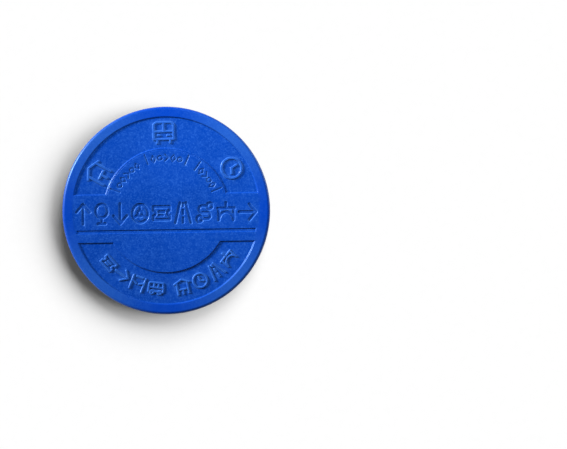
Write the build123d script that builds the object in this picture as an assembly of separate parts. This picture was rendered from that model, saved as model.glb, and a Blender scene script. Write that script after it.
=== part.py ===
from build123d import *
import os
from math import asin, cos, degrees, radians, sin, sqrt

# Contactless single-journey token: two moulded shells, welded round a coil-and-chip inlay.
# Millimetres. The origin is the centre of the plain reverse face, which the token lies on,
# +Z points out of the relief face and +Y to the top of the relief.

# Overall
token_diameter = 30.0
token_thickness = 3.0
front_edge_radius = 0.45
back_edge_radius = 0.35
seam_height = 1.5  # the parting line on the rim
seam_chamfer = 0.08

# Relief face, all at the land height unless sunk
rim_width = 1.5
field_width = 4.5  # radial width of the two sunk fields
field_depth = 0.22
top_field_base = 2.4  # the top field's straight edge, above centre
bottom_field_top = 4.6  # the bottom field's straight edge, below centre
scribe_inset = 0.12  # fine line round the top of the inner disc
scribe_width = 0.14
scribe_depth = 0.05
bar_below_centre = 3.0
bar_height = 0.42
bar_depth = 0.14
bar_end_gap = 0.25  # bar end to the rim's inner edge
band_top = 1.05  # the symbol band is a hair lower than the land
band_depth = 0.05
band_floor = token_thickness - band_depth

# Symbols
row_height = 3.1
row_stroke = 0.42
row_depth = 0.18
row_centre_below = 0.4
row_end_gap = 0.05  # first and last symbol to the rim's inner edge
top_symbol_height = 3.3
top_symbol_stroke = 0.32
bottom_symbol_height = 2.3
bottom_symbol_stroke = 0.26
symbol_relief = 0.17  # raised symbols stand this far above the field floor
mark_height = 1.65
mark_stroke = 0.22
mark_depth = 0.12
mark_inset = 0.32  # top of the arc of marks to the inner disc's edge

# Reverse face
serial_height = 2.6
serial_width = 1.55
serial_stroke = 0.24
serial_depth = 0.05
serial_inset = 2.0  # serial's outer edge to the token's edge

# Shells
side_wall = 3.0
back_floor = 0.7
front_plate = 0.8
ejector_radius = 0.9
ejector_depth = 0.05
groove_width = 0.8
groove_depth = 0.6
tongue_clearance = 0.05
weld_height = 0.15
clamp_ring_width = 0.3
clamp_ring_inset = 0.05

# Inlay
board_clearance = 0.4
board_thickness = 0.4
adhesive_thickness = 0.1
adhesive_radius = 8.0
copper_thickness = 0.035
mask_thickness = 0.06
coil_edge_gap = 0.9  # outermost track's centre to the board's edge
coil_turns = 10
track_pitch = 0.3
track_width = 0.15
via_land_radius = 0.3
via_outer_radius = 0.15
via_bore_radius = 0.1
outer_via_offset = 0.2
inner_via_gap = 0.55

# Chip
die_side = 1.0
die_thickness = 0.15
die_pad_side = 1.6
die_attach_side = 1.1
die_attach_thickness = 0.02
bond_pad_side = 0.9
bond_pad_gap = 0.35
wire_radius = 0.03
wire_rise = 0.18
wire_bend = 0.12
wire_inset = 0.15
dome_radius = 2.4
dome_height = 0.62
dome_clearance = 0.1  # least room over the dome
window_clearance = 0.2

token_radius = token_diameter / 2
field_outer = token_radius - rim_width
field_inner = field_outer - field_width
field_floor = token_thickness - field_depth
cavity_radius = token_radius - side_wall
cavity_ceiling = token_thickness - front_plate
board_radius = cavity_radius - board_clearance
lower_mask_bottom = back_floor + adhesive_thickness
board_bottom = lower_mask_bottom + mask_thickness
board_top = board_bottom + board_thickness
copper_top = board_top + copper_thickness
mask_top = board_top + mask_thickness
die_attach_top = copper_top + die_attach_thickness
die_top = die_attach_top + die_thickness
coil_radius = board_radius - coil_edge_gap
coil_inner = coil_radius - coil_turns * track_pitch
outer_via_x = coil_radius + outer_via_offset
inner_via_x = -(coil_inner - inner_via_gap + track_pitch / 2)
bond_pad_x = die_pad_side / 2 + bond_pad_gap + bond_pad_side / 2
window_radius = dome_radius + window_clearance
dome_room_top = max(cavity_ceiling, board_top + dome_height + dome_clearance)
groove_inner = (cavity_radius + token_radius) / 2 - groove_width / 2
groove_outer = groove_inner + groove_width
groove_floor = seam_height - groove_depth


# Symbols are strokes in a cell one unit high. A step of two numbers is a straight run to that
# point, and a step of four is an arc through the first pair to the second.
def ring(x, y, r):
    return [(x - r, y), (x, y + r, x + r, y), (x, y - r, x - r, y)]


def line(x0, y0, x1, y1):
    return [(x0, y0), (x1, y1)]


up_arrow = [line(0, -0.46, 0, 0.46), [(-0.36, 0.1), (0, 0.46), (0.36, 0.1)]]
down_arrow = [line(0, 0.46, 0, -0.46), [(-0.36, -0.1), (0, -0.46), (0.36, -0.1)]]
right_arrow = [line(-0.46, 0, 0.46, 0), [(0.1, 0.36), (0.46, 0), (0.1, -0.36)]]
stop_sign = [ring(0, 0.14, 0.32), line(0, -0.18, 0, -0.46), line(-0.2, -0.46, 0.2, -0.46)]
wheel = [ring(0, 0, 0.42), ring(0, 0, 0.13)] + [
    line(0.13 * cos(a), 0.13 * sin(a), 0.42 * cos(a), 0.42 * sin(a))
    for a in [radians(90 + 120 * k) for k in range(3)]
]
clock = [ring(0, 0, 0.44), [(0, 0.26), (0, 0), (0.2, -0.12)]]
ticket = [
    [(-0.44, -0.3), (-0.44, -0.12), (-0.32, 0, -0.44, 0.12), (-0.44, 0.3),
     (0.44, 0.3), (0.44, 0.12), (0.32, 0, 0.44, -0.12), (0.44, -0.3), (-0.44, -0.3)],
    line(-0.14, 0.06, 0.14, 0.06),
    line(-0.14, -0.1, 0.06, -0.1),
]
road = [
    line(-0.42, -0.46, -0.16, 0.46), line(0.42, -0.46, 0.16, 0.46),
    line(0, -0.44, 0, -0.24), line(0, -0.04, 0, 0.12), line(0, 0.32, 0, 0.42),
]
route = [
    ring(-0.28, -0.3, 0.14), ring(0.28, 0.3, 0.14),
    [(-0.14, -0.3), (0.16, -0.3), (0.3, -0.15, 0.16, 0),
     (-0.16, 0), (-0.3, 0.15, -0.16, 0.3), (0.14, 0.3)],
]
bridge = [
    line(-0.46, 0.18, 0.46, 0.18), [(-0.4, -0.36), (0, 0.02, 0.4, -0.36)],
    line(-0.4, 0.18, -0.4, -0.36), line(0.4, 0.18, 0.4, -0.36),
    line(0, 0.18, 0, 0.44),
]
shelter = [
    [(-0.46, 0.22), (0, 0.44), (0.46, 0.22)], line(-0.34, 0.24, -0.34, -0.46),
    line(0.34, 0.24, 0.34, -0.46), line(-0.18, -0.18, 0.18, -0.18), line(0, -0.18, 0, -0.46),
]
bus_front = [
    [(-0.43, -0.3), (-0.43, 0.34), (-0.36, 0.41, -0.29, 0.44), (0.29, 0.44),
     (0.36, 0.41, 0.43, 0.34), (0.43, -0.3), (-0.43, -0.3)],
    line(-0.43, 0.04, 0.43, 0.04), line(0, 0.04, 0, 0.44),
    line(-0.28, -0.3, -0.28, -0.46), line(0.28, -0.3, 0.28, -0.46),
    line(-0.25, -0.13, -0.17, -0.13), line(0.17, -0.13, 0.25, -0.13),
]
bus_side = [
    [(-0.46, -0.26), (-0.46, 0.2), (-0.43, 0.27, -0.36, 0.3), (0.4, 0.3), (0.46, 0),
     (0.46, -0.26), (-0.46, -0.26)],
    line(-0.46, 0, 0.46, 0), line(-0.14, 0, -0.14, 0.3), line(0.14, 0, 0.14, 0.3),
    ring(-0.24, -0.3, 0.1), ring(0.24, -0.3, 0.1),
]
gate = [
    line(-0.4, -0.46, -0.4, 0.4), line(0.4, -0.46, 0.4, 0.4),
    line(-0.4, 0.1, -0.08, -0.06), line(0.4, 0.1, 0.08, -0.06), line(-0.2, 0.38, 0.2, 0.38),
]

# Small marks of the arc: a full-height bar, and low ones that stop at two thirds
tall_bar = [line(0, -0.44, 0, 0.44)]
low_ring = [ring(0, -0.16, 0.19)]
low_diamond = [[(-0.19, -0.16), (0, 0.13), (0.19, -0.16), (0, -0.45), (-0.19, -0.16)]]
low_chevron = [[(-0.13, 0.12), (0.15, -0.16), (-0.13, -0.44)]]

# Plain digits for the serial, in a cell 0.6 wide
digit_strokes = [
    [[(-0.25, 0.2), (0, 0.45, 0.25, 0.2), (0.25, -0.2), (0, -0.45, -0.25, -0.2), (-0.25, 0.2)]],
    [[(-0.16, 0.28), (0.04, 0.45), (0.04, -0.45)]],
    [[(-0.25, 0.2), (0, 0.45, 0.25, 0.2), (0.2, 0.02), (-0.25, -0.45), (0.25, -0.45)]],
    [[(-0.24, 0.45), (0.22, 0.45), (-0.02, 0.1), (0.25, -0.17, 0, -0.45), (-0.25, -0.3)]],
    [line(0.12, -0.45, 0.12, 0.45), [(0.12, 0.45), (-0.27, -0.2), (0.27, -0.2)]],
    [[(0.22, 0.45), (-0.2, 0.45), (-0.22, 0.05), (0, 0.1), (0.27, -0.17, 0, -0.45), (-0.24, -0.34)]],
    [[(0.18, 0.45), (-0.18, 0.06, -0.25, -0.2)], ring(0, -0.2, 0.25)],
    [[(-0.25, 0.45), (0.25, 0.45), (-0.06, -0.45)]],
]

row_symbols = [up_arrow, stop_sign, down_arrow, wheel, ticket, road, route, bridge, right_arrow]
row_cell_widths = [0.86, 0.86, 0.86, 1.0, 1.0, 1.0, 1.0, 1.0, 1.0]  # relative, narrow ones first
top_symbols = [(150.5, shelter), (91.0, bus_front), (32.0, clock)]
bottom_symbols = [
    (221.7, ticket), (234.5, right_arrow), (247.8, gate), (261.8, bus_side),
    (281.2, shelter), (295.0, clock), (308.5, road), (321.5, bridge),
]
mark_groups = [
    (158.0, 7.1, [tall_bar, low_ring, low_diamond, low_chevron, low_ring, low_diamond]),
    (110.4, 7.3, [tall_bar, low_diamond, low_ring, low_chevron, low_diamond, low_ring, tall_bar]),
    (53.8, 6.5, [tall_bar, low_diamond, low_chevron, low_ring, low_diamond, tall_bar]),
]
serial_digits = [0, 1, 2, 3, 4, 5, 6, 7]
serial_span = 104.0  # degrees between the first and last digit


def disc(radius, bottom, top):
    return Pos(0, 0, bottom) * extrude(Circle(radius), top - bottom)


def tube(inner, outer, bottom, top):
    return Pos(0, 0, bottom) * extrude(Circle(outer) - Circle(inner), top - bottom)


def block(x, y, side_x, side_y, bottom, top):
    return Pos(x, y, bottom) * extrude(Rectangle(side_x, side_y), top - bottom)


def stroke_face(stroke, scale_x, scale_y, width):
    """One stroke of a symbol, with round ends and corners."""
    here = stroke[0]
    edges = []
    for step in stroke[1:]:
        there = step[-2:]
        points = [here, step[:2], there] if len(step) == 4 else [here, there]
        points = [(x * scale_x, y * scale_y) for x, y in points]
        if len(points) == 3:
            edges.append(ThreePointArc(*points))
        else:
            middle = tuple((a + b) / 2 for a, b in zip(*points))
            edges += [Line(points[0], middle), Line(middle, points[1])]
        here = there
    path = Wire(edges)
    outline = Face(path.offset_2d(width / 2))
    if here != stroke[0]:
        return outline
    return outline - Face(path.offset_2d(-width / 2))


def symbol(strokes, height, width, bottom, top, scale_x=None):
    """Solids of a symbol centred on the origin, one for each stroke."""
    scale_x = scale_x or height
    faces = [stroke_face(stroke, scale_x, height, width) for stroke in strokes]
    return [Pos(0, 0, bottom) * extrude(face, top - bottom, dir=(0, 0, 1)) for face in faces]


def around(solids, radius, angle, outward):
    """Put a symbol on a circle, its top pointing outward or to the centre."""
    turn = angle - 90 if outward else angle + 90
    place = Pos(radius * cos(radians(angle)), radius * sin(radians(angle))) * Rot(0, 0, turn)
    return [place * solid for solid in solids]


def field(straight_y, above):
    """Sunk field between two arcs and a straight edge across the face."""
    half = 2 * token_radius
    strip = Pos(0, straight_y + (half if above else -half)) * Rectangle(2 * half, 2 * half)
    face = (Circle(field_outer) - Circle(field_inner)) & strip
    return Pos(0, 0, field_floor) * extrude(face, field_depth)


def row_symbol_solids():
    half_span = sqrt((field_outer - row_end_gap) ** 2 - (row_height / 2 + row_centre_below) ** 2)
    unit = 2 * half_span / sum(row_cell_widths)
    solids, x = [], -half_span
    for strokes, cell in zip(row_symbols, row_cell_widths):
        place = Pos(x + unit * cell / 2, -row_centre_below)
        floor = token_thickness - row_depth
        x += unit * cell
        glyph = symbol(strokes, row_height, row_stroke, floor, token_thickness + 1, 0.86 * unit)
        solids += [place * solid for solid in glyph]
    return solids


def relief_cuts():
    """Everything engraved or sunk in the relief face."""
    above = token_thickness + 1
    cuts = [field(top_field_base, True), field(-bottom_field_top, False)]
    band_height = band_top + bar_below_centre
    band_strip = Rectangle(2 * token_diameter, band_height)
    band = Circle(field_outer) & Pos(0, band_top - band_height / 2) * band_strip
    cuts.append(Pos(0, 0, band_floor) * extrude(band, band_depth))
    bar_half = sqrt((field_outer - bar_end_gap) ** 2 - bar_below_centre**2)
    bar_floor = token_thickness - bar_depth
    cuts.append(block(0, -bar_below_centre, 2 * bar_half, bar_height, bar_floor, above))
    start = degrees(asin(top_field_base / field_inner))
    scribe_radius = field_inner - scribe_inset - scribe_width / 2
    scribe = CenterArc((0, 0), scribe_radius, start, 180 - 2 * start)
    scribe_face = Face(Wire([scribe]).offset_2d(scribe_width / 2))
    cuts.append(Pos(0, 0, token_thickness - scribe_depth) * extrude(scribe_face, 1))
    cuts += row_symbol_solids()
    mark_radius = field_inner - mark_inset - mark_height / 2
    for start, step, marks in mark_groups:
        for k, strokes in enumerate(marks):
            mark = symbol(strokes, mark_height, mark_stroke, token_thickness - mark_depth, above)
            cuts += around(mark, mark_radius, start - k * step, True)
    return cuts


def relief_symbols():
    """Raised symbols that stand on the floors of the two fields."""
    middle = (field_outer + field_inner) / 2
    foot, top = field_floor - front_plate / 4, field_floor + symbol_relief
    solids = []
    for angle, strokes in top_symbols:
        glyph = symbol(strokes, top_symbol_height, top_symbol_stroke, foot, top)
        solids += around(glyph, middle, angle, True)
    for angle, strokes in bottom_symbols:
        glyph = symbol(strokes, bottom_symbol_height, bottom_symbol_stroke, foot, top)
        solids += around(glyph, middle, angle, False)
    return solids


def ejector_marks(bottom):
    """Shallow round marks that the mould's ejector pins leave inside a shell."""
    spots = PolarLocations(cavity_radius - 2 * ejector_radius, 4, 45)
    return [Pos(0, 0, bottom) * spot * extrude(Circle(ejector_radius), ejector_depth) for spot in spots]


def make_front_shell():
    shell = disc(token_radius, seam_height, token_thickness)
    shell = fillet(shell.edges().group_by(Axis.Z)[-1], front_edge_radius)
    shell = chamfer(shell.edges().group_by(Axis.Z)[0], seam_chamfer)
    shell -= disc(cavity_radius, seam_height, cavity_ceiling)
    shell -= disc(window_radius, seam_height, dome_room_top)
    shell += tube(
        groove_inner + tongue_clearance, groove_outer - tongue_clearance,
        groove_floor + weld_height, seam_height,
    )
    clamp_outer = board_radius - clamp_ring_inset
    shell += tube(clamp_outer - clamp_ring_width, clamp_outer, mask_top, cavity_ceiling)
    shell -= ejector_marks(cavity_ceiling)
    shell -= relief_cuts()
    return shell + relief_symbols()


def make_back_shell():
    shell = disc(token_radius, 0, seam_height)
    shell = fillet(shell.edges().group_by(Axis.Z)[0], back_edge_radius)
    shell = chamfer(shell.edges().group_by(Axis.Z)[-1], seam_chamfer)
    shell -= disc(cavity_radius, back_floor, seam_height)
    shell -= tube(groove_inner, groove_outer, groove_floor, seam_height)
    shell -= ejector_marks(back_floor - ejector_depth)
    radius = token_radius - serial_inset - serial_height / 2
    step = serial_span / (len(serial_digits) - 1)
    cuts = []
    for k, digit in enumerate(serial_digits):
        strokes = digit_strokes[digit]
        glyph = symbol(strokes, serial_height, serial_stroke, -1, serial_depth, serial_width / 0.6)
        angle = 270 - serial_span / 2 + k * step
        cuts += around(glyph, radius, angle, False)
    # the reverse is read from below, so the serial is mirrored in this frame
    return shell - [mirror(cut, Plane.YZ) for cut in cuts]


def make_weld_ring():
    return tube(groove_inner, groove_outer, groove_floor, groove_floor + weld_height)


def coil_face(half_turns, side):
    """Track of half circles that step inward by half a pitch, the way round given by side."""
    outer_edges, inner_edges = [], []
    for k in range(half_turns):
        towards = 1 if k % 2 == 0 else -1
        centre = towards * track_pitch / 4
        radius = coil_radius - track_pitch / 4 - k * track_pitch / 2
        for edges, side_step in ((outer_edges, track_width / 2), (inner_edges, -track_width / 2)):
            r = radius + side_step
            start, end = centre + towards * r, centre - towards * r
            edges.append(ThreePointArc((start, 0), (centre, side * towards * r), (end, 0)))
    ends = [Line(outer @ at, inner @ at) for outer, inner, at in
            ((outer_edges[0], inner_edges[0], 0), (outer_edges[-1], inner_edges[-1], 1))]
    return make_face(outer_edges + inner_edges + ends)


def via_land(x):
    return Pos(x, 0) * (Circle(via_land_radius) - Circle(via_outer_radius))


def run_between(x0, x1):
    return Pos((x0 + x1) / 2, 0) * Rectangle(abs(x1 - x0), track_width)


def via_clear(x):
    return Pos(x, 0) * Circle(via_outer_radius)


def make_antenna_top():
    lead = run_between(coil_inner + track_width / 2, bond_pad_x)
    face = coil_face(2 * coil_turns, 1) + lead + via_land(outer_via_x) - via_clear(outer_via_x)
    return Pos(0, 0, board_top) * extrude(face, copper_thickness, dir=(0, 0, 1))


def make_antenna_bottom():
    coil_end = -(coil_inner + track_pitch / 2)
    face = coil_face(2 * coil_turns - 1, -1) + run_between(coil_end - track_width / 2, inner_via_x)
    for x in (outer_via_x, inner_via_x):
        face = face + via_land(x) - via_clear(x)
    return Pos(0, 0, board_bottom - copper_thickness) * extrude(face, copper_thickness, dir=(0, 0, 1))


def make_return_track():
    face = run_between(inner_via_x, -bond_pad_x) + via_land(inner_via_x)
    return Pos(0, 0, board_top) * extrude(face - via_clear(inner_via_x), copper_thickness)


def make_via_barrels():
    barrel = tube(via_bore_radius, via_outer_radius, board_bottom - copper_thickness, copper_top)
    return [Pos(x, 0) * barrel for x in (outer_via_x, inner_via_x)]


def make_board():
    holes = [Pos(x, 0) * disc(via_outer_radius, board_bottom, board_top) for x in (outer_via_x, inner_via_x)]
    return disc(board_radius, board_bottom, board_top) - holes


def make_bond_pads():
    pad = block(0, 0, bond_pad_side, bond_pad_side, board_top, copper_top)
    return [Pos(side * bond_pad_x, 0) * pad for side in (1, -1)]


def make_bond_wires():
    foot = die_side / 2 - wire_inset
    over = die_top + wire_rise
    wires = []
    for side in (1, -1):
        points = [(side * foot, 0, die_top), (side * foot, 0, over),
                  (side * bond_pad_x, 0, over), (side * bond_pad_x, 0, copper_top)]
        path = FilletPolyline(*points, radius=wire_bend)
        section = Plane(points[0], z_dir=(0, 0, 1)) * Circle(wire_radius)
        wires.append(sweep(section, path=path))
    return wires


def make_glob_top(enclosed):
    sphere_radius = (dome_radius**2 + dome_height**2) / (2 * dome_height)
    ball = Pos(0, 0, board_top + dome_height - sphere_radius) * Sphere(sphere_radius)
    return (ball & disc(2 * dome_radius, board_top, board_top + 2 * dome_height)) - enclosed


def write(node, solids):
    solids = solids if isinstance(solids, list) else [solids]
    part = Compound(children=[solid for group in solids for solid in group.solids()])
    part.label = node
    export_step(part, f"parts/{node}.step")


os.makedirs("parts", exist_ok=True)

die = block(0, 0, die_side, die_side, die_attach_top, die_top)
die_attach = block(0, 0, die_attach_side, die_attach_side, copper_top, die_attach_top)
die_pad = block(0, 0, die_pad_side, die_pad_side, board_top, copper_top)
bond_pads = make_bond_pads()
bond_wires = make_bond_wires()
via_barrels = make_via_barrels()
antenna_top = make_antenna_top()
antenna_bottom = make_antenna_bottom()
return_track = make_return_track()
antenna_top -= bond_pads
return_track -= bond_pads
window = disc(window_radius, board_top, mask_top)
mask_film_top = disc(board_radius, board_top, mask_top)
mask_film_bottom = disc(board_radius, lower_mask_bottom, board_bottom)
enclosed = [antenna_top, return_track, die_pad, die_attach, die] + bond_pads + bond_wires

write("front_shell", make_front_shell())
write("back_shell", make_back_shell())
write("weld_ring", make_weld_ring())
write("inlay_adhesive", disc(adhesive_radius, back_floor, lower_mask_bottom))
write("inlay_board", make_board())
write("antenna_top", antenna_top)
write("antenna_bottom", antenna_bottom)
write("return_track", return_track)
write("via_barrels", via_barrels)
write("solder_mask_top", mask_film_top - [antenna_top, return_track, window] - via_barrels)
write("solder_mask_bottom", mask_film_bottom - antenna_bottom - via_barrels)
write("die_pad", die_pad)
write("die_attach", die_attach)
write("chip_die", die)
write("bond_pads", bond_pads)
write("bond_wires", bond_wires)
write("glob_top", make_glob_top(enclosed))
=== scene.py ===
import math
import bpy
import numpy as np
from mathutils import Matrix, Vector
from mathutils.geometry import delaunay_2d_cdt


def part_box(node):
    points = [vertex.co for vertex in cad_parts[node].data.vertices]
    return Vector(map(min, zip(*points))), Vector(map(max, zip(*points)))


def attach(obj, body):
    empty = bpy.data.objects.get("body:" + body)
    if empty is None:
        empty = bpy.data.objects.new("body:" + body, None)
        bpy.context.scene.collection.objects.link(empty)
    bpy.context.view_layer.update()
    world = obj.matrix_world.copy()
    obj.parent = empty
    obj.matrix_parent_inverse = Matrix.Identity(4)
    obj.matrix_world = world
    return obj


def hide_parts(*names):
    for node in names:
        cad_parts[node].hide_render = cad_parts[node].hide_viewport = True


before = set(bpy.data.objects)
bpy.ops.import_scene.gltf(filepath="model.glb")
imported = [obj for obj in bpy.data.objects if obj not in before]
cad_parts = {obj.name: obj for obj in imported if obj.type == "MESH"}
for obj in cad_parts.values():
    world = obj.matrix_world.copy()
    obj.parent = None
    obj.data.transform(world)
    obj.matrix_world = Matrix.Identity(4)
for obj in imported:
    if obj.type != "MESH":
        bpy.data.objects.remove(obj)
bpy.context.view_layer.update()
print("frame loaded:", len(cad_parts), "nodes")

mm = 0.001  # the script works in millimetres, and Blender in metres
scene = bpy.context.scene
tokenRadius, _, tokenTop = [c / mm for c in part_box("front_shell")[1]]
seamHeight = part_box("back_shell")[1][2] / mm
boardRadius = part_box("inlay_board")[1][0] / mm
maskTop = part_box("solder_mask_top")[1][2] / mm
weldBottom, weldTop = [corner[2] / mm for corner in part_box("weld_ring")]


# symbols: strokes in a cell one unit high, where two numbers run straight on and four go round an arc,
# through the first point to the second
def ring(x, y, r):
    return [(x - r, y), (x, y + r, x + r, y), (x, y - r, x - r, y)]


def line(x0, y0, x1, y1):
    return [(x0, y0), (x1, y1)]


upArrow = [line(0, -0.46, 0, 0.46), [(-0.36, 0.1), (0, 0.46), (0.36, 0.1)]]
downArrow = [line(0, 0.46, 0, -0.46), [(-0.36, -0.1), (0, -0.46), (0.36, -0.1)]]
rightArrow = [line(-0.46, 0, 0.46, 0), [(0.1, 0.36), (0.46, 0), (0.1, -0.36)]]
stopSign = [ring(0, 0.14, 0.32), line(0, -0.18, 0, -0.46), line(-0.2, -0.46, 0.2, -0.46)]
wheel = [ring(0, 0, 0.42), ring(0, 0, 0.13)] + [
    line(0.13 * math.cos(a), 0.13 * math.sin(a), 0.42 * math.cos(a), 0.42 * math.sin(a))
    for a in [math.radians(90 + 120 * k) for k in range(3)]]
clock = [ring(0, 0, 0.44), [(0, 0.26), (0, 0), (0.2, -0.12)]]
ticket = [
    [(-0.44, -0.3), (-0.44, -0.12), (-0.32, 0, -0.44, 0.12), (-0.44, 0.3),
     (0.44, 0.3), (0.44, 0.12), (0.32, 0, 0.44, -0.12), (0.44, -0.3), (-0.44, -0.3)],
    line(-0.14, 0.06, 0.14, 0.06), line(-0.14, -0.1, 0.06, -0.1)]
road = [
    line(-0.42, -0.46, -0.16, 0.46), line(0.42, -0.46, 0.16, 0.46),
    line(0, -0.44, 0, -0.24), line(0, -0.04, 0, 0.12), line(0, 0.32, 0, 0.42)]
route = [
    ring(-0.28, -0.3, 0.14), ring(0.28, 0.3, 0.14),
    [(-0.14, -0.3), (0.16, -0.3), (0.3, -0.15, 0.16, 0),
     (-0.16, 0), (-0.3, 0.15, -0.16, 0.3), (0.14, 0.3)]]
bridge = [
    line(-0.46, 0.18, 0.46, 0.18), [(-0.4, -0.36), (0, 0.02, 0.4, -0.36)],
    line(-0.4, 0.18, -0.4, -0.36), line(0.4, 0.18, 0.4, -0.36), line(0, 0.18, 0, 0.44)]
shelter = [
    [(-0.46, 0.22), (0, 0.44), (0.46, 0.22)], line(-0.34, 0.24, -0.34, -0.46),
    line(0.34, 0.24, 0.34, -0.46), line(-0.18, -0.18, 0.18, -0.18), line(0, -0.18, 0, -0.46)]
busFront = [
    [(-0.43, -0.3), (-0.43, 0.34), (-0.36, 0.41, -0.29, 0.44), (0.29, 0.44),
     (0.36, 0.41, 0.43, 0.34), (0.43, -0.3), (-0.43, -0.3)],
    line(-0.43, 0.04, 0.43, 0.04), line(0, 0.04, 0, 0.44),
    line(-0.28, -0.3, -0.28, -0.46), line(0.28, -0.3, 0.28, -0.46),
    line(-0.25, -0.13, -0.17, -0.13), line(0.17, -0.13, 0.25, -0.13)]
busSide = [
    [(-0.46, -0.26), (-0.46, 0.2), (-0.43, 0.27, -0.36, 0.3), (0.4, 0.3), (0.46, 0),
     (0.46, -0.26), (-0.46, -0.26)],
    line(-0.46, 0, 0.46, 0), line(-0.14, 0, -0.14, 0.3), line(0.14, 0, 0.14, 0.3),
    ring(-0.24, -0.3, 0.1), ring(0.24, -0.3, 0.1)]
gate = [
    line(-0.4, -0.46, -0.4, 0.4), line(0.4, -0.46, 0.4, 0.4),
    line(-0.4, 0.1, -0.08, -0.06), line(0.4, 0.1, 0.08, -0.06), line(-0.2, 0.38, 0.2, 0.38)]
tallBar = [line(0, -0.44, 0, 0.44)]
lowRing = [ring(0, -0.16, 0.19)]
lowDiamond = [[(-0.19, -0.16), (0, 0.13), (0.19, -0.16), (0, -0.45), (-0.19, -0.16)]]
lowChevron = [[(-0.13, 0.12), (0.15, -0.16), (-0.13, -0.44)]]
digitStrokes = [
    [[(-0.25, 0.2), (0, 0.45, 0.25, 0.2), (0.25, -0.2), (0, -0.45, -0.25, -0.2), (-0.25, 0.2)]],
    [[(-0.16, 0.28), (0.04, 0.45), (0.04, -0.45)]],
    [[(-0.25, 0.2), (0, 0.45, 0.25, 0.2), (0.2, 0.02), (-0.25, -0.45), (0.25, -0.45)]],
    [[(-0.24, 0.45), (0.22, 0.45), (-0.02, 0.1), (0.25, -0.17, 0, -0.45), (-0.25, -0.3)]],
    [line(0.12, -0.45, 0.12, 0.45), [(0.12, 0.45), (-0.27, -0.2), (0.27, -0.2)]],
    [[(0.22, 0.45), (-0.2, 0.45), (-0.22, 0.05), (0, 0.1), (0.27, -0.17, 0, -0.45), (-0.24, -0.34)]],
    [[(0.18, 0.45), (-0.18, 0.06, -0.25, -0.2)], ring(0, -0.2, 0.25)],
    [[(-0.25, 0.45), (0.25, 0.45), (-0.06, -0.45)]]]
digitShare = 0.6  # a digit's width, stroke included, over its cell's


def arcPoints(a, b, c, count=14):
    # points on the circle through a, b and c, after a
    ax, ay, bx, by, cx, cy = *a, *b, *c
    d = 2 * (ax * (by - cy) + bx * (cy - ay) + cx * (ay - by))
    aa, bb, cc = ax * ax + ay * ay, bx * bx + by * by, cx * cx + cy * cy
    ux = (aa * (by - cy) + bb * (cy - ay) + cc * (ay - by)) / d
    uy = (aa * (cx - bx) + bb * (ax - cx) + cc * (bx - ax)) / d
    radius = math.hypot(ax - ux, ay - uy)
    start, middle, end = [math.atan2(y - uy, x - ux) for x, y in (a, b, c)]
    sweep = (end - start) % (2 * math.pi)
    if (middle - start) % (2 * math.pi) > sweep:
        sweep -= 2 * math.pi
    turns = [start + sweep * k / count for k in range(1, count + 1)]
    return [(ux + radius * math.cos(t), uy + radius * math.sin(t)) for t in turns]


def placeSymbol(strokes, x, y, turn, height, width, stroke, mirrored=False):
    # a symbol's strokes as short straight runs on the face
    runs = []
    for steps in strokes:
        points = [steps[0]]
        for step in steps[1:]:
            points += arcPoints(points[-1], step[:2], step[2:]) if len(step) == 4 else [step]
        turned = []
        for px, py in points:
            qx, qy = px * width, py * height
            qx, qy = qx * math.cos(turn) - qy * math.sin(turn), qx * math.sin(turn) + qy * math.cos(turn)
            turned.append((-(x + qx) if mirrored else x + qx, y + qy))
        runs += [(*p, *q) for p, q in zip(turned, turned[1:])]
    return {"runs": np.array(runs), "half": stroke / 2}


def aroundCircle(strokes, radius, degrees, outward, height, width, stroke, mirrored=False):
    angle = math.radians(degrees)
    turn = angle - math.pi / 2 if outward else angle + math.pi / 2
    x, y = radius * math.cos(angle), radius * math.sin(angle)
    return placeSymbol(strokes, x, y, turn, height, width, stroke, mirrored)


def symbolDistance(x, y, symbols, far=0.5):
    # distance to the nearest stroke's edge, negative inside a stroke, and no more than far
    best = np.full(x.shape, far)
    for symbol in symbols:
        runs, half = symbol["runs"], symbol["half"]
        lowX, highX = runs[:, 0::2].min() - half - far, runs[:, 0::2].max() + half + far
        lowY, highY = runs[:, 1::2].min() - half - far, runs[:, 1::2].max() + half + far
        near = np.nonzero((x > lowX) & (x < highX) & (y > lowY) & (y < highY))
        px, py, least = x[near], y[near], best[near]
        for ax, ay, bx, by in runs:
            dx, dy = bx - ax, by - ay
            along = np.clip(((px - ax) * dx + (py - ay) * dy) / (dx * dx + dy * dy + 1e-12), 0, 1)
            least = np.minimum(least, np.hypot(px - ax - along * dx, py - ay - along * dy) - half)
        best[near] = least
    return best


# moulded faces: a flat face with soft-edged features, cut along lines of equal distance
mesher = {
    "around": 288, "gridStep": 0.065, "fillStep": 0.75, "edgeSteps": 10, "slopeStep": 0.004,
    "levelNudge": 1e-5,  # keeps a level off the grid's own values
    "weldWithin": 1e-4,  # points nearer than this become one
}
# where a feature's edge is cut in the mesh, in shares of its half width
fiveLevels, threeLevels, twoLevels = (-1, -0.5, 0, 0.5, 1), (-1, 0, 1), (-1, 1)


def softStep(t):
    t = np.clip(t, 0, 1)
    return t * t * (3 - 2 * t)


def within(distance, edge):
    # 1 inside a feature and 0 outside, with a soft step from edge inside to edge outside
    return softStep((edge - distance) / (2 * edge))


def feature(distance, rise, edge, levels):
    return {"distance": distance, "rise": rise, "edge": edge, "levels": levels}


def faceHeight(x, y, features):
    height = np.zeros(x.shape)
    for f in features:
        height += f["rise"] * within(f["distance"](x, y), f["edge"])
    return height


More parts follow.
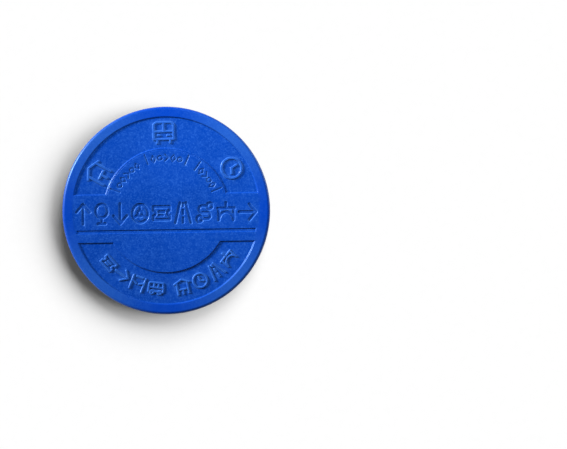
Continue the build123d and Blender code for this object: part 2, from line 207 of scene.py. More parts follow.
def faceNormals(x, y, features, up):
    step = mesher["slopeStep"]
    slopeX = (faceHeight(x + step, y, features) - faceHeight(x - step, y, features)) / (2 * step)
    slopeY = (faceHeight(x, y + step, features) - faceHeight(x, y - step, features)) / (2 * step)
    normals = np.stack([-slopeX, -slopeY, np.full(len(x), float(up))], 1)
    return normals / np.linalg.norm(normals, axis=1)[:, None]


def equalLines(values, level, xs):
    # marching squares: points where the grid crosses the level, and the pairs of them to join
    above = values > level
    step = xs[1] - xs[0]
    count = 0
    crossings, points = [], []
    for axis in (0, 1):
        a, b = (values[:-1, :], values[1:, :]) if axis == 0 else (values[:, :-1], values[:, 1:])
        flips = (above[:-1, :] != above[1:, :]) if axis == 0 else (above[:, :-1] != above[:, 1:])
        ids = np.full(flips.shape, -1)
        i, j = np.nonzero(flips)
        share = (level - a[i, j]) / (b[i, j] - a[i, j])
        points.append(np.stack([xs[i] + (share * step if axis == 0 else 0),
                                xs[j] + (share * step if axis == 1 else 0)], 1))
        ids[i, j] = np.arange(len(i)) + count
        count += len(i)
        crossings.append(ids)
    alongX, alongY = crossings
    sides = np.stack([alongX[:, :-1], alongY[:-1, :], alongX[:, 1:], alongY[1:, :]], -1).reshape(-1, 4)
    crossed = (sides >= 0).sum(1)
    two, four = sides[crossed == 2], sides[crossed == 4]
    return np.concatenate(points), np.concatenate([np.sort(two, 1)[:, 2:], four[:, :2], four[:, 2:]])


def cutFace(radius, features):
    # triangles of the face inside radius, and where the rim's points are among its points
    around, gridStep, fillStep = mesher["around"], mesher["gridStep"], mesher["fillStep"]
    turns = np.arange(around) * 2 * math.pi / around
    points = [np.stack([radius * np.cos(turns), radius * np.sin(turns)], 1)]
    pairs = [np.stack([np.arange(around), (np.arange(around) + 1) % around], 1)]
    count = around
    xs = np.arange(-radius, radius + gridStep, gridStep)
    gridX, gridY = np.meshgrid(xs, xs, indexing="ij")
    for f in features:
        values = f["distance"](gridX, gridY)
        for share in f["levels"]:
            found, joined = equalLines(values, share * f["edge"] + mesher["levelNudge"], xs)
            points.append(found)
            pairs.append(joined + count)
            count += len(found)
    fill = np.arange(-radius, radius, fillStep)
    fillX, fillY = [a.ravel() for a in np.meshgrid(fill, fill, indexing="ij")]
    inside = np.hypot(fillX, fillY) < radius - fillStep / 2
    points.append(np.stack([fillX[inside], fillY[inside]], 1))
    flat = [Vector(p) for p in np.concatenate(points)]
    joins = [tuple(int(i) for i in p) for p in np.concatenate(pairs)]
    out = delaunay_2d_cdt(flat, joins, [], 0, mesher["weldWithin"])
    rim = [-1] * around
    for k, origins in enumerate(out[3]):
        for origin in origins:
            if origin < around:
                rim[origin] = k
    return np.array([tuple(v) for v in out[0]]), np.array(out[2]), rim


def profileLine(*points):
    return [(a, b, None, None) for a, b in zip(points, points[1:])]


def profileArc(centre, radius, start, end):
    steps = mesher["edgeSteps"]
    turns = [math.radians(start + (end - start) * k / steps) for k in range(steps + 1)]
    normals = [(math.cos(t), math.sin(t)) for t in turns]
    points = [(centre[0] + radius * n[0], centre[1] + radius * n[1]) for n in normals]
    return [(points[k], points[k + 1], normals[k], normals[k + 1]) for k in range(steps)]


def turnedStrips(strips, up, rim, count):
    # strips turned about the axis, on from the face's rim, and closed with a fan at the axis
    around = mesher["around"]
    turns = np.arange(around) * 2 * math.pi / around
    cosines, sines = np.cos(turns), np.sin(turns)
    following = [(k + 1) % around for k in range(around)]
    vertices, faces, loopNormals = [], [], []
    last = rim
    for (startR, startZ), (endR, endZ), startNormal, endNormal in strips:
        if startNormal is None:
            run = math.hypot(endR - startR, endZ - startZ)
            startNormal = endNormal = (-up * (endZ - startZ) / run, up * (endR - startR) / run)
        closing = endR == 0
        if closing:
            vertices.append(np.array([[0, 0, endZ]]))
            now = [count] * around
            count += 1
        else:
            vertices.append(np.stack([endR * cosines, endR * sines, np.full(around, endZ)], 1))
            now = list(range(count, count + around))
            count += around
        corners = []
        for k, nextK in enumerate(following):
            face = [(last[k], k, startNormal), (now[k], k, endNormal),
                    (now[nextK], nextK, endNormal), (last[nextK], nextK, startNormal)]
            if closing:
                face.pop(2)
            if up < 0:
                face.reverse()
            faces.append([corner[0] for corner in face])
            corners += [(n[0] * cosines[i], n[0] * sines[i], n[1]) for _, i, n in face]
        loopNormals.append(np.array(corners))
        last = now
    return vertices, faces, loopNormals


def mouldedShell(name, faceAt, up, features, strips, attributes):
    # the cut face, with its side and inside turned from the strips
    places, triangles, rim = cutFace(strips[0][0][0], features)
    x, y = places[:, 0], places[:, 1]
    if up < 0:
        triangles = triangles[:, ::-1]
    normals = faceNormals(x, y, features, up)[triangles.ravel()]
    sideVertices, sideFaces, sideNormals = turnedStrips(strips, up, rim, len(x))
    vertices = np.concatenate([np.stack([x, y, faceAt + up * faceHeight(x, y, features)], 1)] + sideVertices)
    faces = [[int(i) for i in t] for t in triangles] + sideFaces
    mesh = bpy.data.meshes.new(name)
    mesh.from_pydata((vertices * mm).tolist(), [], faces)
    mesh.shade_smooth()
    mesh.normals_split_custom_set(np.concatenate([normals] + sideNormals).tolist())
    outside = len(vertices) - len(x)
    ringOf = np.arange(outside) // mesher["around"]
    fade = np.maximum(0, 1 - ringOf / mesher["edgeSteps"])  # gone at the foot of the rounded edge
    for label, values in attributes(x, y).items():
        data = np.concatenate([values, np.resize(values[rim], outside) * fade])
        mesh.attributes.new(label, "FLOAT", "POINT").data.foreach_set("value", data)
    piece = bpy.data.objects.new(name, mesh)
    scene.collection.objects.link(piece)
    print(name, "vertices", len(vertices), "faces", len(faces))
    return piece


# front half: rim, two sunk fields with raised symbols, a band with the symbol row, bar, scribed line, marks
front = {
    "edgeRadius": 0.45, "seamChamfer": 0.08, "rimWidth": 1.5, "sideWall": 3.0, "plate": 0.8,
    "fieldWidth": 4.5, "fieldDepth": 0.22, "fieldEdge": 0.13, "topFieldBase": 2.4, "bottomFieldTop": 4.6,
    "bandTop": 1.05, "bandDepth": 0.05, "bandEdge": 0.045,
    "barDrop": 3.0, "barHeight": 0.42, "barDepth": 0.14, "barEdge": 0.09, "barEndGap": 0.25,
    "scribeInset": 0.12, "scribeWidth": 0.14, "scribeDepth": 0.035, "scribeEdge": 0.055,
    "rowHeight": 3.1, "rowStroke": 0.42, "rowDepth": 0.18, "rowEdge": 0.06, "rowDrop": 0.4, "rowEndGap": 0.05,
    "rowFill": 0.86,  # a symbol's width over its cell's
    "topHeight": 3.3, "topStroke": 0.32, "bottomHeight": 2.3, "bottomStroke": 0.26,
    "symbolRelief": 0.17, "symbolEdge": 0.06,
    "markHeight": 1.65, "markStroke": 0.22, "markDepth": 0.12, "markEdge": 0.055, "markInset": 0.32,
    "grooveWidth": 0.8, "tongueClearance": 0.05, "clampInset": 0.05, "clampWidth": 0.3,
    "sunkBlur": 0.12, "symbolBlur": 0.08, "rimBlur": 0.1,  # half widths of the colour's steps
    "raisedPaleEdge": 0.08, "rowPaleEdge": 0.07, "markPaleEdge": 0.05,  # half widths of the pale edge bands, a painted highlight that is partly wear
}
fieldOuter = tokenRadius - front["rimWidth"]
fieldInner = fieldOuter - front["fieldWidth"]
cavityRadius = tokenRadius - front["sideWall"]
grooveMiddle = (cavityRadius + tokenRadius) / 2

rowSymbols = [upArrow, stopSign, downArrow, wheel, ticket, road, route, bridge, rightArrow]
# the cells' relative widths
rowCells = [0.86, 0.86, 0.86, 1.0, 1.0, 1.0, 1.0, 1.0, 1.0]
topSymbols = [(150.5, shelter), (91.0, busFront), (32.0, clock)]  # degrees round the field, and the symbol
bottomSymbols = [
    (221.7, ticket), (234.5, rightArrow), (247.8, gate), (261.8, busSide),
    (281.2, shelter), (295.0, clock), (308.5, road), (321.5, bridge)]
markGroups = [  # first mark's degrees, step to the next, and the marks
    (158.0, 7.1, [tallBar, lowRing, lowDiamond, lowChevron, lowRing, lowDiamond]),
    (110.4, 7.3, [tallBar, lowDiamond, lowRing, lowChevron, lowDiamond, lowRing, tallBar]),
    (53.8, 6.5, [tallBar, lowDiamond, lowChevron, lowRing, lowDiamond, tallBar])]


def placeRow():
    height, drop = front["rowHeight"], front["rowDrop"]
    halfSpan = math.sqrt((fieldOuter - front["rowEndGap"]) ** 2 - (height / 2 + drop) ** 2)
    unit = 2 * halfSpan / sum(rowCells)
    placed, x = [], -halfSpan
    for strokes, cell in zip(rowSymbols, rowCells):
        centre = x + unit * cell / 2
        width = front["rowFill"] * unit
        placed.append(placeSymbol(strokes, centre, -drop, 0, height, width, front["rowStroke"]))
        x += unit * cell
    return placed


def placeRaised():
    middle = (fieldOuter + fieldInner) / 2
    top, bottom = front["topHeight"], front["bottomHeight"]
    placed = [aroundCircle(s, middle, a, True, top, top, front["topStroke"]) for a, s in topSymbols]
    return placed + [aroundCircle(s, middle, a, False, bottom, bottom, front["bottomStroke"])
                     for a, s in bottomSymbols]


def placeMarks():
    height = front["markHeight"]
    radius = fieldInner - front["markInset"] - height / 2
    return [aroundCircle(s, radius, start - k * step, True, height, height, front["markStroke"])
            for start, step, marks in markGroups for k, s in enumerate(marks)]


rowPlaced, raisedPlaced, marksPlaced = placeRow(), placeRaised(), placeMarks()


def fieldDistance(x, y):
    r = np.hypot(x, y)
    across = np.maximum(r - fieldOuter, fieldInner - r)
    return np.maximum(across, np.minimum(front["topFieldBase"] - y, y + front["bottomFieldTop"]))


def bandDistance(x, y):
    return np.maximum(np.hypot(x, y) - fieldOuter, np.maximum(y - front["bandTop"], -y - front["barDrop"]))


def barDistance(x, y):
    reach = math.sqrt((fieldOuter - front["barEndGap"]) ** 2 - front["barDrop"] ** 2)
    return np.maximum(np.abs(x) - reach, np.abs(y + front["barDrop"]) - front["barHeight"] / 2)


def scribeDistance(x, y):
    half = front["scribeWidth"] / 2
    radius = fieldInner - front["scribeInset"] - half
    return np.maximum(np.abs(np.hypot(x, y) - radius) - half, front["topFieldBase"] - y)


def rowDistance(x, y):
    return symbolDistance(x, y, rowPlaced)


def marksDistance(x, y):
    return symbolDistance(x, y, marksPlaced)


def raisedDistance(x, y):
    return symbolDistance(x, y, raisedPlaced)


frontFeatures = [
    feature(fieldDistance, -front["fieldDepth"], front["fieldEdge"], fiveLevels),
    feature(bandDistance, -front["bandDepth"], front["bandEdge"], twoLevels),
    feature(barDistance, -front["barDepth"], front["barEdge"], fiveLevels),
    feature(scribeDistance, -front["scribeDepth"], front["scribeEdge"], threeLevels),
    feature(rowDistance, front["bandDepth"] - front["rowDepth"], front["rowEdge"], fiveLevels),
    feature(marksDistance, -front["markDepth"], front["markEdge"], threeLevels),
    feature(raisedDistance, front["symbolRelief"], front["symbolEdge"], fiveLevels)]


def frontMasks(x, y):
    toRaised, toRow, toMarks = raisedDistance(x, y), rowDistance(x, y), marksDistance(x, y)
    raised = within(toRaised, front["symbolBlur"])
    rim = within(fieldOuter - np.hypot(x, y), front["rimBlur"])
    quarter = 0.5 - 0.5 * np.cos(4 * np.arctan2(y, x))  # the rim is rubbed most between the quarter points
    edges = [(toRaised, front["raisedPaleEdge"]), (toRow, front["rowPaleEdge"]), (toMarks, front["markPaleEdge"])]
    return {
        "sunk": within(fieldDistance(x, y), front["sunkBlur"]) * (1 - raised),
        "raised": raised,
        "cut": within(np.minimum(toRow, toMarks), front["symbolBlur"]),
        "rim": rim * quarter,
        "fresh": rim * (1 - quarter),
        # pale bands along the edges of the symbols, row and marks: a painted highlight, partly wear
        "wornHighlight": np.max([softStep(1 - np.abs(distance) / wear) for distance, wear in edges], axis=0)}


def frontStrips():
    r, e, c = tokenRadius, front["edgeRadius"], front["seamChamfer"]
    ceiling = tokenTop - front["plate"]
    tongueOut = grooveMiddle + front["grooveWidth"] / 2 - front["tongueClearance"]
    tongueIn = grooveMiddle - front["grooveWidth"] / 2 + front["tongueClearance"]
    clampOut = boardRadius - front["clampInset"]
    clampIn = clampOut - front["clampWidth"]
    return profileArc((r - e, tokenTop - e), e, 90, 0) + profileLine(
        (r, tokenTop - e), (r, seamHeight + c), (r - c, seamHeight), (tongueOut, seamHeight),
        (tongueOut, weldTop), (tongueIn, weldTop), (tongueIn, seamHeight),
        (cavityRadius, seamHeight), (cavityRadius, ceiling), (clampOut, ceiling),
        (clampOut, maskTop), (clampIn, maskTop), (clampIn, ceiling), (0, ceiling))


frontHalf = mouldedShell("relief_half", tokenTop, 1, frontFeatures, frontStrips(), frontMasks)

# back half: plain, with a serial of generic digits, mirrored so that it reads from below
back = {
    "edgeRadius": 0.35, "seamChamfer": 0.08, "floor": 0.7, "digits": [0, 1, 2, 3, 4, 5, 6, 7],
    "serialHeight": 2.6, "serialWidth": 1.55, "serialStroke": 0.24, "serialDepth": 0.05, "serialEdge": 0.045,
    "serialInset": 2.0, "serialSpan": 104.0, "serialBlur": 0.03,
}


def placeSerial():
    height, width, span = back["serialHeight"], back["serialWidth"] / digitShare, back["serialSpan"]
    radius = tokenRadius - back["serialInset"] - height / 2
    step = span / (len(back["digits"]) - 1)
    return [aroundCircle(digitStrokes[d], radius, 270 - span / 2 + k * step, False,
                         height, width, back["serialStroke"], mirrored=True)
            for k, d in enumerate(back["digits"])]


serialPlaced = placeSerial()


def serialDistance(x, y):
    return symbolDistance(x, y, serialPlaced)


def backMasks(x, y):
    return {"marked": within(serialDistance(x, y), back["serialBlur"])}


def backStrips():
    r, e, c = tokenRadius, back["edgeRadius"], back["seamChamfer"]
    grooveOut, grooveIn = grooveMiddle + front["grooveWidth"] / 2, grooveMiddle - front["grooveWidth"] / 2
    return profileArc((r - e, e), e, 270, 360) + profileLine(
        (r, e), (r, seamHeight - c), (r - c, seamHeight), (grooveOut, seamHeight),
        (grooveOut, weldBottom), (grooveIn, weldBottom), (grooveIn, seamHeight),
        (cavityRadius, seamHeight), (cavityRadius, back["floor"]), (0, back["floor"]))


backFeatures = [feature(serialDistance, -back["serialDepth"], back["serialEdge"], threeLevels)]
backHalf = mouldedShell("plain_half", 0, -1, backFeatures, backStrips(), backMasks)


# shader tools
class Wire:
    # a socket whose arithmetic adds Math nodes
    def __init__(self, finish, socket):
        self.finish, self.socket = finish, socket

    def combined(self, operation, a, b):
        return self.finish.node("ShaderNodeMath", {"operation": operation}, {0: a, 1: b})

    def __add__(self, other):
        return self.combined("ADD", self, other)

    def __radd__(self, other):
        return self.combined("ADD", other, self)

    def __sub__(self, other):
        return self.combined("SUBTRACT", self, other)

    def __rsub__(self, other):
        return self.combined("SUBTRACT", other, self)

    def __mul__(self, other):
        return self.combined("MULTIPLY", self, other)

    def __rmul__(self, other):
        return self.combined("MULTIPLY", other, self)


class Finish:
    # a material with one Principled shader
    def __init__(self, name, constants=None):
        self.material = bpy.data.materials.new(name)
        self.material.use_nodes = True
        self.tree = self.material.node_tree
        self.tree.nodes.clear()
        output = self.tree.nodes.new("ShaderNodeOutputMaterial")
        self.shader = self.tree.nodes.new("ShaderNodeBsdfPrincipled")
        self.tree.links.new(self.shader.outputs[0], output.inputs["Surface"])
        for label, value in (constants or {}).items():
            self.shader.inputs[label].default_value = value

    def node(self, kind, settings=None, sockets=None, out=0):
        made = self.tree.nodes.new(kind)
        for label, value in (settings or {}).items():
            setattr(made, label, value)
        for label, value in (sockets or {}).items():
            if isinstance(value, Wire):
                self.tree.links.new(value.socket, made.inputs[label])
            else:
                made.inputs[label].default_value = value
        return Wire(self, made.outputs[out])

    def feed(self, label, wire):
        self.tree.links.new(wire.socket, self.shader.inputs[label])

    def where(self):
        return self.node("ShaderNodeTexCoord", out="Object")

    def noise(self, perMetre, detail=3.0, roughness=0.5, vector=None):
        return self.node("ShaderNodeTexNoise", {}, {
            "Vector": vector or self.where(), "Scale": perMetre, "Detail": detail, "Roughness": roughness})

    def scratches(self, perMetre, turn, low, high):
        # noise drawn out to fine lines: perMetre for each axis, turned about the token's own
        drawn = self.node("ShaderNodeMapping", {}, {
            "Vector": self.where(), "Scale": perMetre, "Rotation": (0, 0, turn)})
        return self.between(self.noise(1.0, 2.0, 0.5, drawn), low, high)

    def weave(self, direction, perMetre, distortion):
        return self.node("ShaderNodeTexWave", {"bands_direction": direction}, {
            "Vector": self.where(), "Scale": perMetre, "Distortion": distortion}, "Fac")

    def between(self, value, low, high, toLow=0.0, toHigh=1.0):
        return self.node("ShaderNodeMapRange", {}, {
            "Value": value, "From Min": low, "From Max": high, "To Min": toLow, "To Max": toHigh})

    def mixed(self, factor, a, b):
        return self.node("ShaderNodeMix", {"data_type": "RGBA"}, {0: factor, 6: a, 7: b}, 2)

    def attribute(self, name):
        return self.node("ShaderNodeAttribute", {"attribute_name": name}, out="Fac")

    def bump(self, height, strength, distance):
        return self.node("ShaderNodeBump", {}, {"Height": height, "Strength": strength, "Distance": distance})


# the blue moulded plastic: colours, then roughness, then noise scales per metre and bump in metres
blueLook = {
    "base": (0.0010, 0.0366, 0.283, 1), "deep": (0.0008, 0.0323, 0.252, 1), "pale": (0.022, 0.112, 0.46, 1),
    "rubbed": (0.0115, 0.069, 0.335, 1), "fresh": (0.0002, 0.033, 0.32, 1), "wornHighlight": (0.035, 0.140, 0.48, 1),
    "paintedCutShade": (0.002, 0.022, 0.150, 1), "chalk": (0.16, 0.33, 0.62, 1),
    "specular": 0.3, "ior": 1.5, "specularTint": (0.5, 0.92, 1, 1),
    "roughLow": 0.28, "roughHigh": 0.36, "grazingRough": 0.3,
    "cloud": 140, "rubbing": 420, "peel": 900, "mottle": 1500, "broken": 3600, "speckle": 5200, "grain": 9000,
    "scratchA": {"perMetre": (260, 5200, 5200), "turn": 0.6, "low": 0.67, "high": 0.76},
    "scratchB": {"perMetre": (5200, 300, 5200), "turn": 0.35, "low": 0.69, "high": 0.77},
    "grainHeight": 0.000006, "grainStrength": 0.55,
}


def blueAbs(name, face):
    look = blueLook
    finish = Finish(name, {"Specular IOR Level": look["specular"], "IOR": look["ior"],
                           "Specular Tint": look["specularTint"]})
    cloud = finish.noise(look["cloud"], 3.0, 0.55)
    speckle = finish.noise(look["speckle"], 2.0, 0.6)
    mottle = finish.noise(look["mottle"], 3.0, 0.6)
    grain = finish.noise(look["grain"], 2.0, 0.55)
    peel = finish.noise(look["peel"], 2.0, 0.5)
    scratches = (finish.scratches(**look["scratchA"]) + finish.scratches(**look["scratchB"])) * 0.6
    rubbed = finish.between(finish.noise(look["rubbing"], 4.0, 0.62), 0.48, 0.66)
    colour = finish.mixed(finish.between(cloud, 0.35, 0.65), look["deep"], look["base"])
    colour = finish.mixed(finish.between(speckle, 0.5, 0.75, 0, 0.55), colour, look["pale"])
    colour = finish.mixed(finish.between(mottle, 0.45, 0.72, 0, 0.16), colour, look["pale"])
    colour = finish.mixed(scratches * rubbed * 0.35, colour, look["pale"])
    rough = finish.between(cloud, 0.3, 0.7, look["roughLow"], look["roughHigh"])
    rough = rough + finish.between(speckle, 0.3, 0.7, -0.05, 0.08) - rubbed * 0.05
    if face == "relief":
        sunk, raised, cut, rim, fresh, wornHighlight = [
            finish.attribute(mask) for mask in ("sunk", "raised", "cut", "rim", "fresh", "wornHighlight")]
        colour = finish.mixed(fresh * 0.8, colour, look["fresh"])
        colour = finish.mixed(rim * finish.between(speckle, 0.3, 0.7, 0.6, 1.0), colour, look["rubbed"])
        # painted shade: the cut strokes of the row and marks are darkened where shade falls in them
        colour = finish.mixed(cut * finish.between(cloud, 0.3, 0.7, 0.1, 0.35), colour, look["paintedCutShade"])
        # raised symbols painted paler: partly rubbed wear on their tops, partly a painted highlight for the
        # light on their edges
        colour = finish.mixed(raised * finish.between(grain, 0.3, 0.7, 0.45, 0.75), colour, look["rubbed"])
        # painted highlight: the pale edge bands stand in for light on the walls of the symbols and marks, and
        # are partly wear
        colour = finish.mixed(wornHighlight * finish.between(mottle, 0.3, 0.6, 0.3, 0.85), colour, look["wornHighlight"])
        rough = rough + rim * 0.04
        coarse = 1 + sunk * 0.8
    else:
        marked = finish.attribute("marked")
        broken = finish.between(finish.noise(look["broken"], 3.0, 0.6), 0.3, 0.55, 0.35, 1.0)
        colour = finish.mixed(marked * broken, colour, look["chalk"])
        coarse = 1 + marked * 1.5
    grazing = finish.node("ShaderNodeLayerWeight", {}, {"Blend": 0.35}, "Facing")
    height = grain * coarse + peel * 0.5 - scratches * 0.5
    finish.feed("Base Color", colour)
    finish.feed("Roughness", rough + finish.between(grazing, 0.85, 1, 0, look["grazingRough"]))
    finish.feed("Normal", finish.bump(height, look["grainStrength"], look["grainHeight"]))
    return finish.material


frontHalf.data.materials.append(blueAbs("blueReliefPlastic", "relief"))
backHalf.data.materials.append(blueAbs("bluePlainPlastic", "plain"))
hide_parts("front_shell")
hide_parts("back_shell")
for half in (frontHalf, backHalf):
    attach(half, "root")
print("shells done")


# the inlay's finishes: two colours, the roughness of each, noise scale per metre and bump in metres
patternedLooks = {
    "copperFoil": {"bright": (0.80, 0.42, 0.26, 1), "stained": (0.52, 0.22, 0.12, 1), "rough": (0.26, 0.45),
                   "stain": 700, "pits": 24000, "bumpHeight": 0.000003},
    "greenSolderMask": {"dark": (0.012, 0.12, 0.045, 1), "light": (0.02, 0.17, 0.07, 1),
                        "rough": (0.24, 0.34), "tint": 300, "cloth": 400.0, "dimples": 9000,
                        "bumpHeight": 0.000004},
    "glassEpoxy": {"resin": (0.50, 0.45, 0.20, 1), "glass": (0.66, 0.62, 0.36, 1), "rough": (0.42, 0.55),
                   "cloth": 420.0, "bumpHeight": 0.000008},
}
plainLooks = {
    "immersionGold": {"low": (0.94, 0.66, 0.28, 1), "high": (1.0, 0.76, 0.38, 1), "rough": (0.22, 0.36),
                      "perMetre": 6000, "bumpHeight": 0.000001, "metallic": 1.0},
    "blackEpoxy": {"low": (0.010, 0.010, 0.011, 1), "high": (0.022, 0.021, 0.021, 1), "rough": (0.32, 0.5),
                   "perMetre": 1500, "bumpHeight": 0.000006, "metallic": 0.0},
    "siliconDie": {"low": (0.10, 0.10, 0.13, 1), "high": (0.17, 0.17, 0.2, 1), "rough": (0.12, 0.22),
                   "perMetre": 9000, "bumpHeight": 0.0000005, "metallic": 0.6},
    "silverEpoxy": {"low": (0.46, 0.46, 0.44, 1), "high": (0.62, 0.62, 0.6, 1), "rough": (0.45, 0.6),
                    "perMetre": 9000, "bumpHeight": 0.000002, "metallic": 0.4},
    "bondWire": {"low": (0.82, 0.82, 0.84, 1), "high": (0.9, 0.9, 0.9, 1), "rough": (0.2, 0.3),
                 "perMetre": 20000, "bumpHeight": 0.0000005, "metallic": 1.0},
    "acrylicFilm": {"low": (0.66, 0.63, 0.5, 1), "high": (0.8, 0.77, 0.66, 1), "rough": (0.4, 0.6),
                    "perMetre": 800, "bumpHeight": 0.000006, "metallic": 0.0},
    "refrozenWeld": {"low": (0.002, 0.034, 0.24, 1), "high": (0.005, 0.058, 0.34, 1), "rough": (0.22, 0.4),
                     "perMetre": 1200, "bumpHeight": 0.00001, "metallic": 0.0},
}


def copperFoil():
    look = patternedLooks["copperFoil"]
    finish = Finish("copperFoil", {"Metallic": 1.0})
    stain = finish.between(finish.noise(look["stain"], 4.0, 0.6), 0.35, 0.7)
    finish.feed("Base Color", finish.mixed(stain, look["bright"], look["stained"]))
    finish.feed("Roughness", finish.between(stain, 0, 1, *look["rough"]))
    finish.feed("Normal", finish.bump(finish.noise(look["pits"], 2.0), 0.4, look["bumpHeight"]))
    return finish.material


def greenMask():
    look = patternedLooks["greenSolderMask"]
    finish = Finish("greenSolderMask", {"Coat Roughness": 0.2})
    cloth = finish.weave("X", look["cloth"], 0.6)
    tint = finish.between(finish.noise(look["tint"], 3.0), 0.3, 0.7)
    finish.feed("Base Color", finish.mixed(tint, look["dark"], look["light"]))
    finish.feed("Roughness", finish.between(tint, 0, 1, *look["rough"]))
    finish.feed("Normal", finish.bump(cloth + finish.noise(look["dimples"], 2.0), 0.25, look["bumpHeight"]))
    return finish.material


def glassEpoxy():
    look = patternedLooks["glassEpoxy"]
    finish = Finish("glassEpoxy", {"Specular IOR Level": 0.5})
    cloth = finish.weave("X", look["cloth"], 0.4) * finish.weave("Y", look["cloth"], 0.4)
    finish.feed("Base Color", finish.mixed(cloth, look["resin"], look["glass"]))
    finish.feed("Roughness", finish.between(cloth, 0, 1, *look["rough"]))
    finish.feed("Normal", finish.bump(cloth, 0.3, look["bumpHeight"]))
    return finish.material


def plainFinish(name):
    look = plainLooks[name]
    finish = Finish(name, {"Metallic": look["metallic"]})
    spread = finish.between(finish.noise(look["perMetre"], 4.0, 0.55), 0.32, 0.68)
    finish.feed("Base Color", finish.mixed(spread, look["low"], look["high"]))
    finish.feed("Roughness", finish.between(spread, 0, 1, *look["rough"]))
    finish.feed("Normal", finish.bump(finish.noise(look["perMetre"] * 6, 2.0), 0.4, look["bumpHeight"]))
    return finish.material


inlayFinishes = [
    (copperFoil(), ["antenna_top", "antenna_bottom", "return_track", "via_barrels"]),
    (greenMask(), ["solder_mask_top", "solder_mask_bottom"]),
    (glassEpoxy(), ["inlay_board"]),
    (plainFinish("immersionGold"), ["die_pad", "bond_pads"]),
    (plainFinish("blackEpoxy"), ["glob_top"]),
    (plainFinish("siliconDie"), ["chip_die"]),
    (plainFinish("silverEpoxy"), ["die_attach"]),
    (plainFinish("bondWire"), ["bond_wires"]),
    (plainFinish("acrylicFilm"), ["inlay_adhesive"]),
    (plainFinish("refrozenWeld"), ["weld_ring"])]
for material, nodeNames in inlayFinishes:
    for nodeName in nodeNames:
        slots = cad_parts[nodeName].data.materials
        slots.clear()
        slots.append(material)
print("inlay finishes done")

# floor of pale paper, just clear of the token's underside
floorPlan = {"halfSide": 6000, "drop": 0.02, "darkTone": 0.895, "lightTone": 0.905, "perMetre": 900}


def gray(v):
    return (v, v, v, 1.0)


def makeFloor():
    plan = floorPlan
    side, below = plan["halfSide"] * mm, -plan["drop"] * mm
    corners = [(-side, -side, below), (side, -side, below), (side, side, below), (-side, side, below)]
    mesh = bpy.data.meshes.new("floor")
    mesh.from_pydata(corners, [], [(0, 1, 2, 3)])
    floor = bpy.data.objects.new("floor", mesh)
    scene.collection.objects.link(floor)
    finish = Finish("palePaper", {"Specular IOR Level": 0.0})
    tone = finish.between(finish.noise(plan["perMetre"], 3.0), 0.3, 0.7)
    finish.feed("Base Color", finish.mixed(tone, gray(plan["darkTone"]), gray(plan["lightTone"])))
    finish.feed("Roughness", finish.between(tone, 0, 1, 0.9, 0.95))
    mesh.materials.append(finish.material)
    return floor


# lights: turn is measured from +x towards +y, lift above the floor, both in degrees
lightPlan = {
    "floorRight": {"strength": 2.66, "turn": 5, "lift": 39, "spread": 43},
    "floorTop": {"strength": 2.57, "turn": 60, "lift": 39, "spread": 42},
    "relief": {"strength": 8.0, "turn": 155, "lift": 20, "spread": 12},
    "above": {"energy": 0.037, "turn": 70, "lift": 52, "distance": 60, "base": 0.0, "long": 24, "high": 24},
    "rightCard": {"energy": 0.012, "turn": 22, "lift": 0, "distance": 60, "base": 1.4,
                  "long": 40, "high": 2.4},
    "sunDistance": 500, "worldFill": 0.08, "worldSeen": 1.27,
}


def hangLight(name, light, distance, base, receivers):
    plan = lightPlan[name]
    lamp = bpy.data.objects.new(name, light)
    turn, lift = math.radians(plan["turn"]), math.radians(plan["lift"])
    towards = Vector((math.cos(lift) * math.cos(turn), math.cos(lift) * math.sin(turn), math.sin(lift)))
    lamp.rotation_euler = towards.to_track_quat("Z", "Y").to_euler()
    lamp.location = towards * distance * mm + Vector((0, 0, base * mm))
    scene.collection.objects.link(lamp)
    lit = bpy.data.collections.new(name + "_lights")
    for piece in receivers:
        lit.objects.link(piece)
    lamp.light_linking.receiver_collection = lit
    return lamp


def makeSun(name, receivers):
    light = bpy.data.lights.new(name, "SUN")
    light.energy, light.angle = lightPlan[name]["strength"], math.radians(lightPlan[name]["spread"])
    hangLight(name, light, lightPlan["sunDistance"], 0.0, receivers)


def makePanel(name, receivers):
    plan = lightPlan[name]
    light = bpy.data.lights.new(name, "AREA")
    light.shape, light.energy = "RECTANGLE", plan["energy"]
    light.size, light.size_y = plan["long"] * mm, plan["high"] * mm
    lamp = hangLight(name, light, plan["distance"], plan["base"], receivers)
    lamp.visible_camera = False
    return lamp


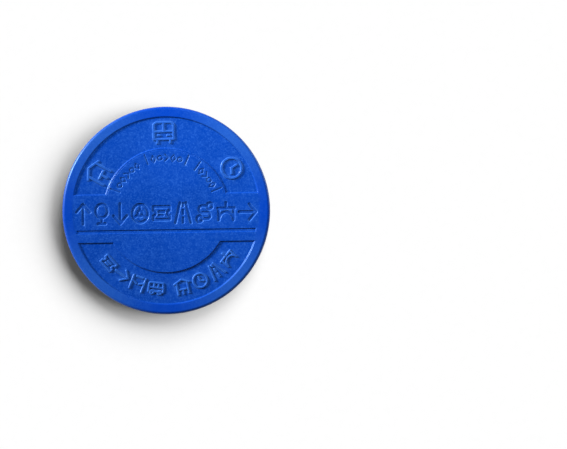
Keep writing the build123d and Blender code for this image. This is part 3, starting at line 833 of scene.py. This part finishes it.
def makeLights(floor):
    # the floor and the token have their own lights, as the shadow falls away from high lamps on the
    # right while the relief is drawn by a low one on the left
    token = [frontHalf, backHalf]
    makeSun("floorRight", [floor])
    makeSun("floorTop", [floor])
    makeSun("relief", token)
    makePanel("above", token).visible_glossy = False
    makePanel("rightCard", token).visible_diffuse = False
    for half in token:
        half.visible_diffuse = False  # keeps the blue glow off the paper


def makeWorld():
    # dim as a light, bright where the camera sees past the floor
    world = bpy.data.worlds.new("studio")
    scene.world = world
    world.use_nodes = True
    nodes, links = world.node_tree.nodes, world.node_tree.links
    nodes.clear()
    output, shade = nodes.new("ShaderNodeOutputWorld"), nodes.new("ShaderNodeBackground")
    path, pick = nodes.new("ShaderNodeLightPath"), nodes.new("ShaderNodeMapRange")
    pick.inputs["To Min"].default_value = lightPlan["worldFill"]
    pick.inputs["To Max"].default_value = lightPlan["worldSeen"]
    links.new(path.outputs["Is Camera Ray"], pick.inputs["Value"])
    links.new(pick.outputs[0], shade.inputs["Strength"])
    links.new(shade.outputs[0], output.inputs["Surface"])


makeLights(makeFloor())
makeWorld()
scene.view_settings.view_transform = "Standard"
print("floor and lights done")

# camera: straight above, with the token left of the middle; across is the width seen at the token's top
cameraPlan = {"lens": 135.0, "across": 81.8, "right": 16.94, "below": 2.03, "turn": -0.9,
              "nearest": 10, "farthest": 50000}


def makeCamera():
    plan = cameraPlan
    camera = bpy.data.objects.new("camera", bpy.data.cameras.new("camera"))
    camera.data.lens = plan["lens"]
    height = plan["across"] * plan["lens"] / camera.data.sensor_width
    turn = math.radians(plan["turn"])
    x = plan["right"] * math.cos(turn) + plan["below"] * math.sin(turn)
    y = plan["right"] * math.sin(turn) - plan["below"] * math.cos(turn)
    camera.location = (x * mm, y * mm, (tokenTop + height) * mm)
    camera.rotation_euler = (0, 0, turn)
    camera.data.clip_start, camera.data.clip_end = plan["nearest"] * mm, plan["farthest"] * mm
    scene.collection.objects.link(camera)
    scene.camera = camera


makeCamera()
print("camera done")
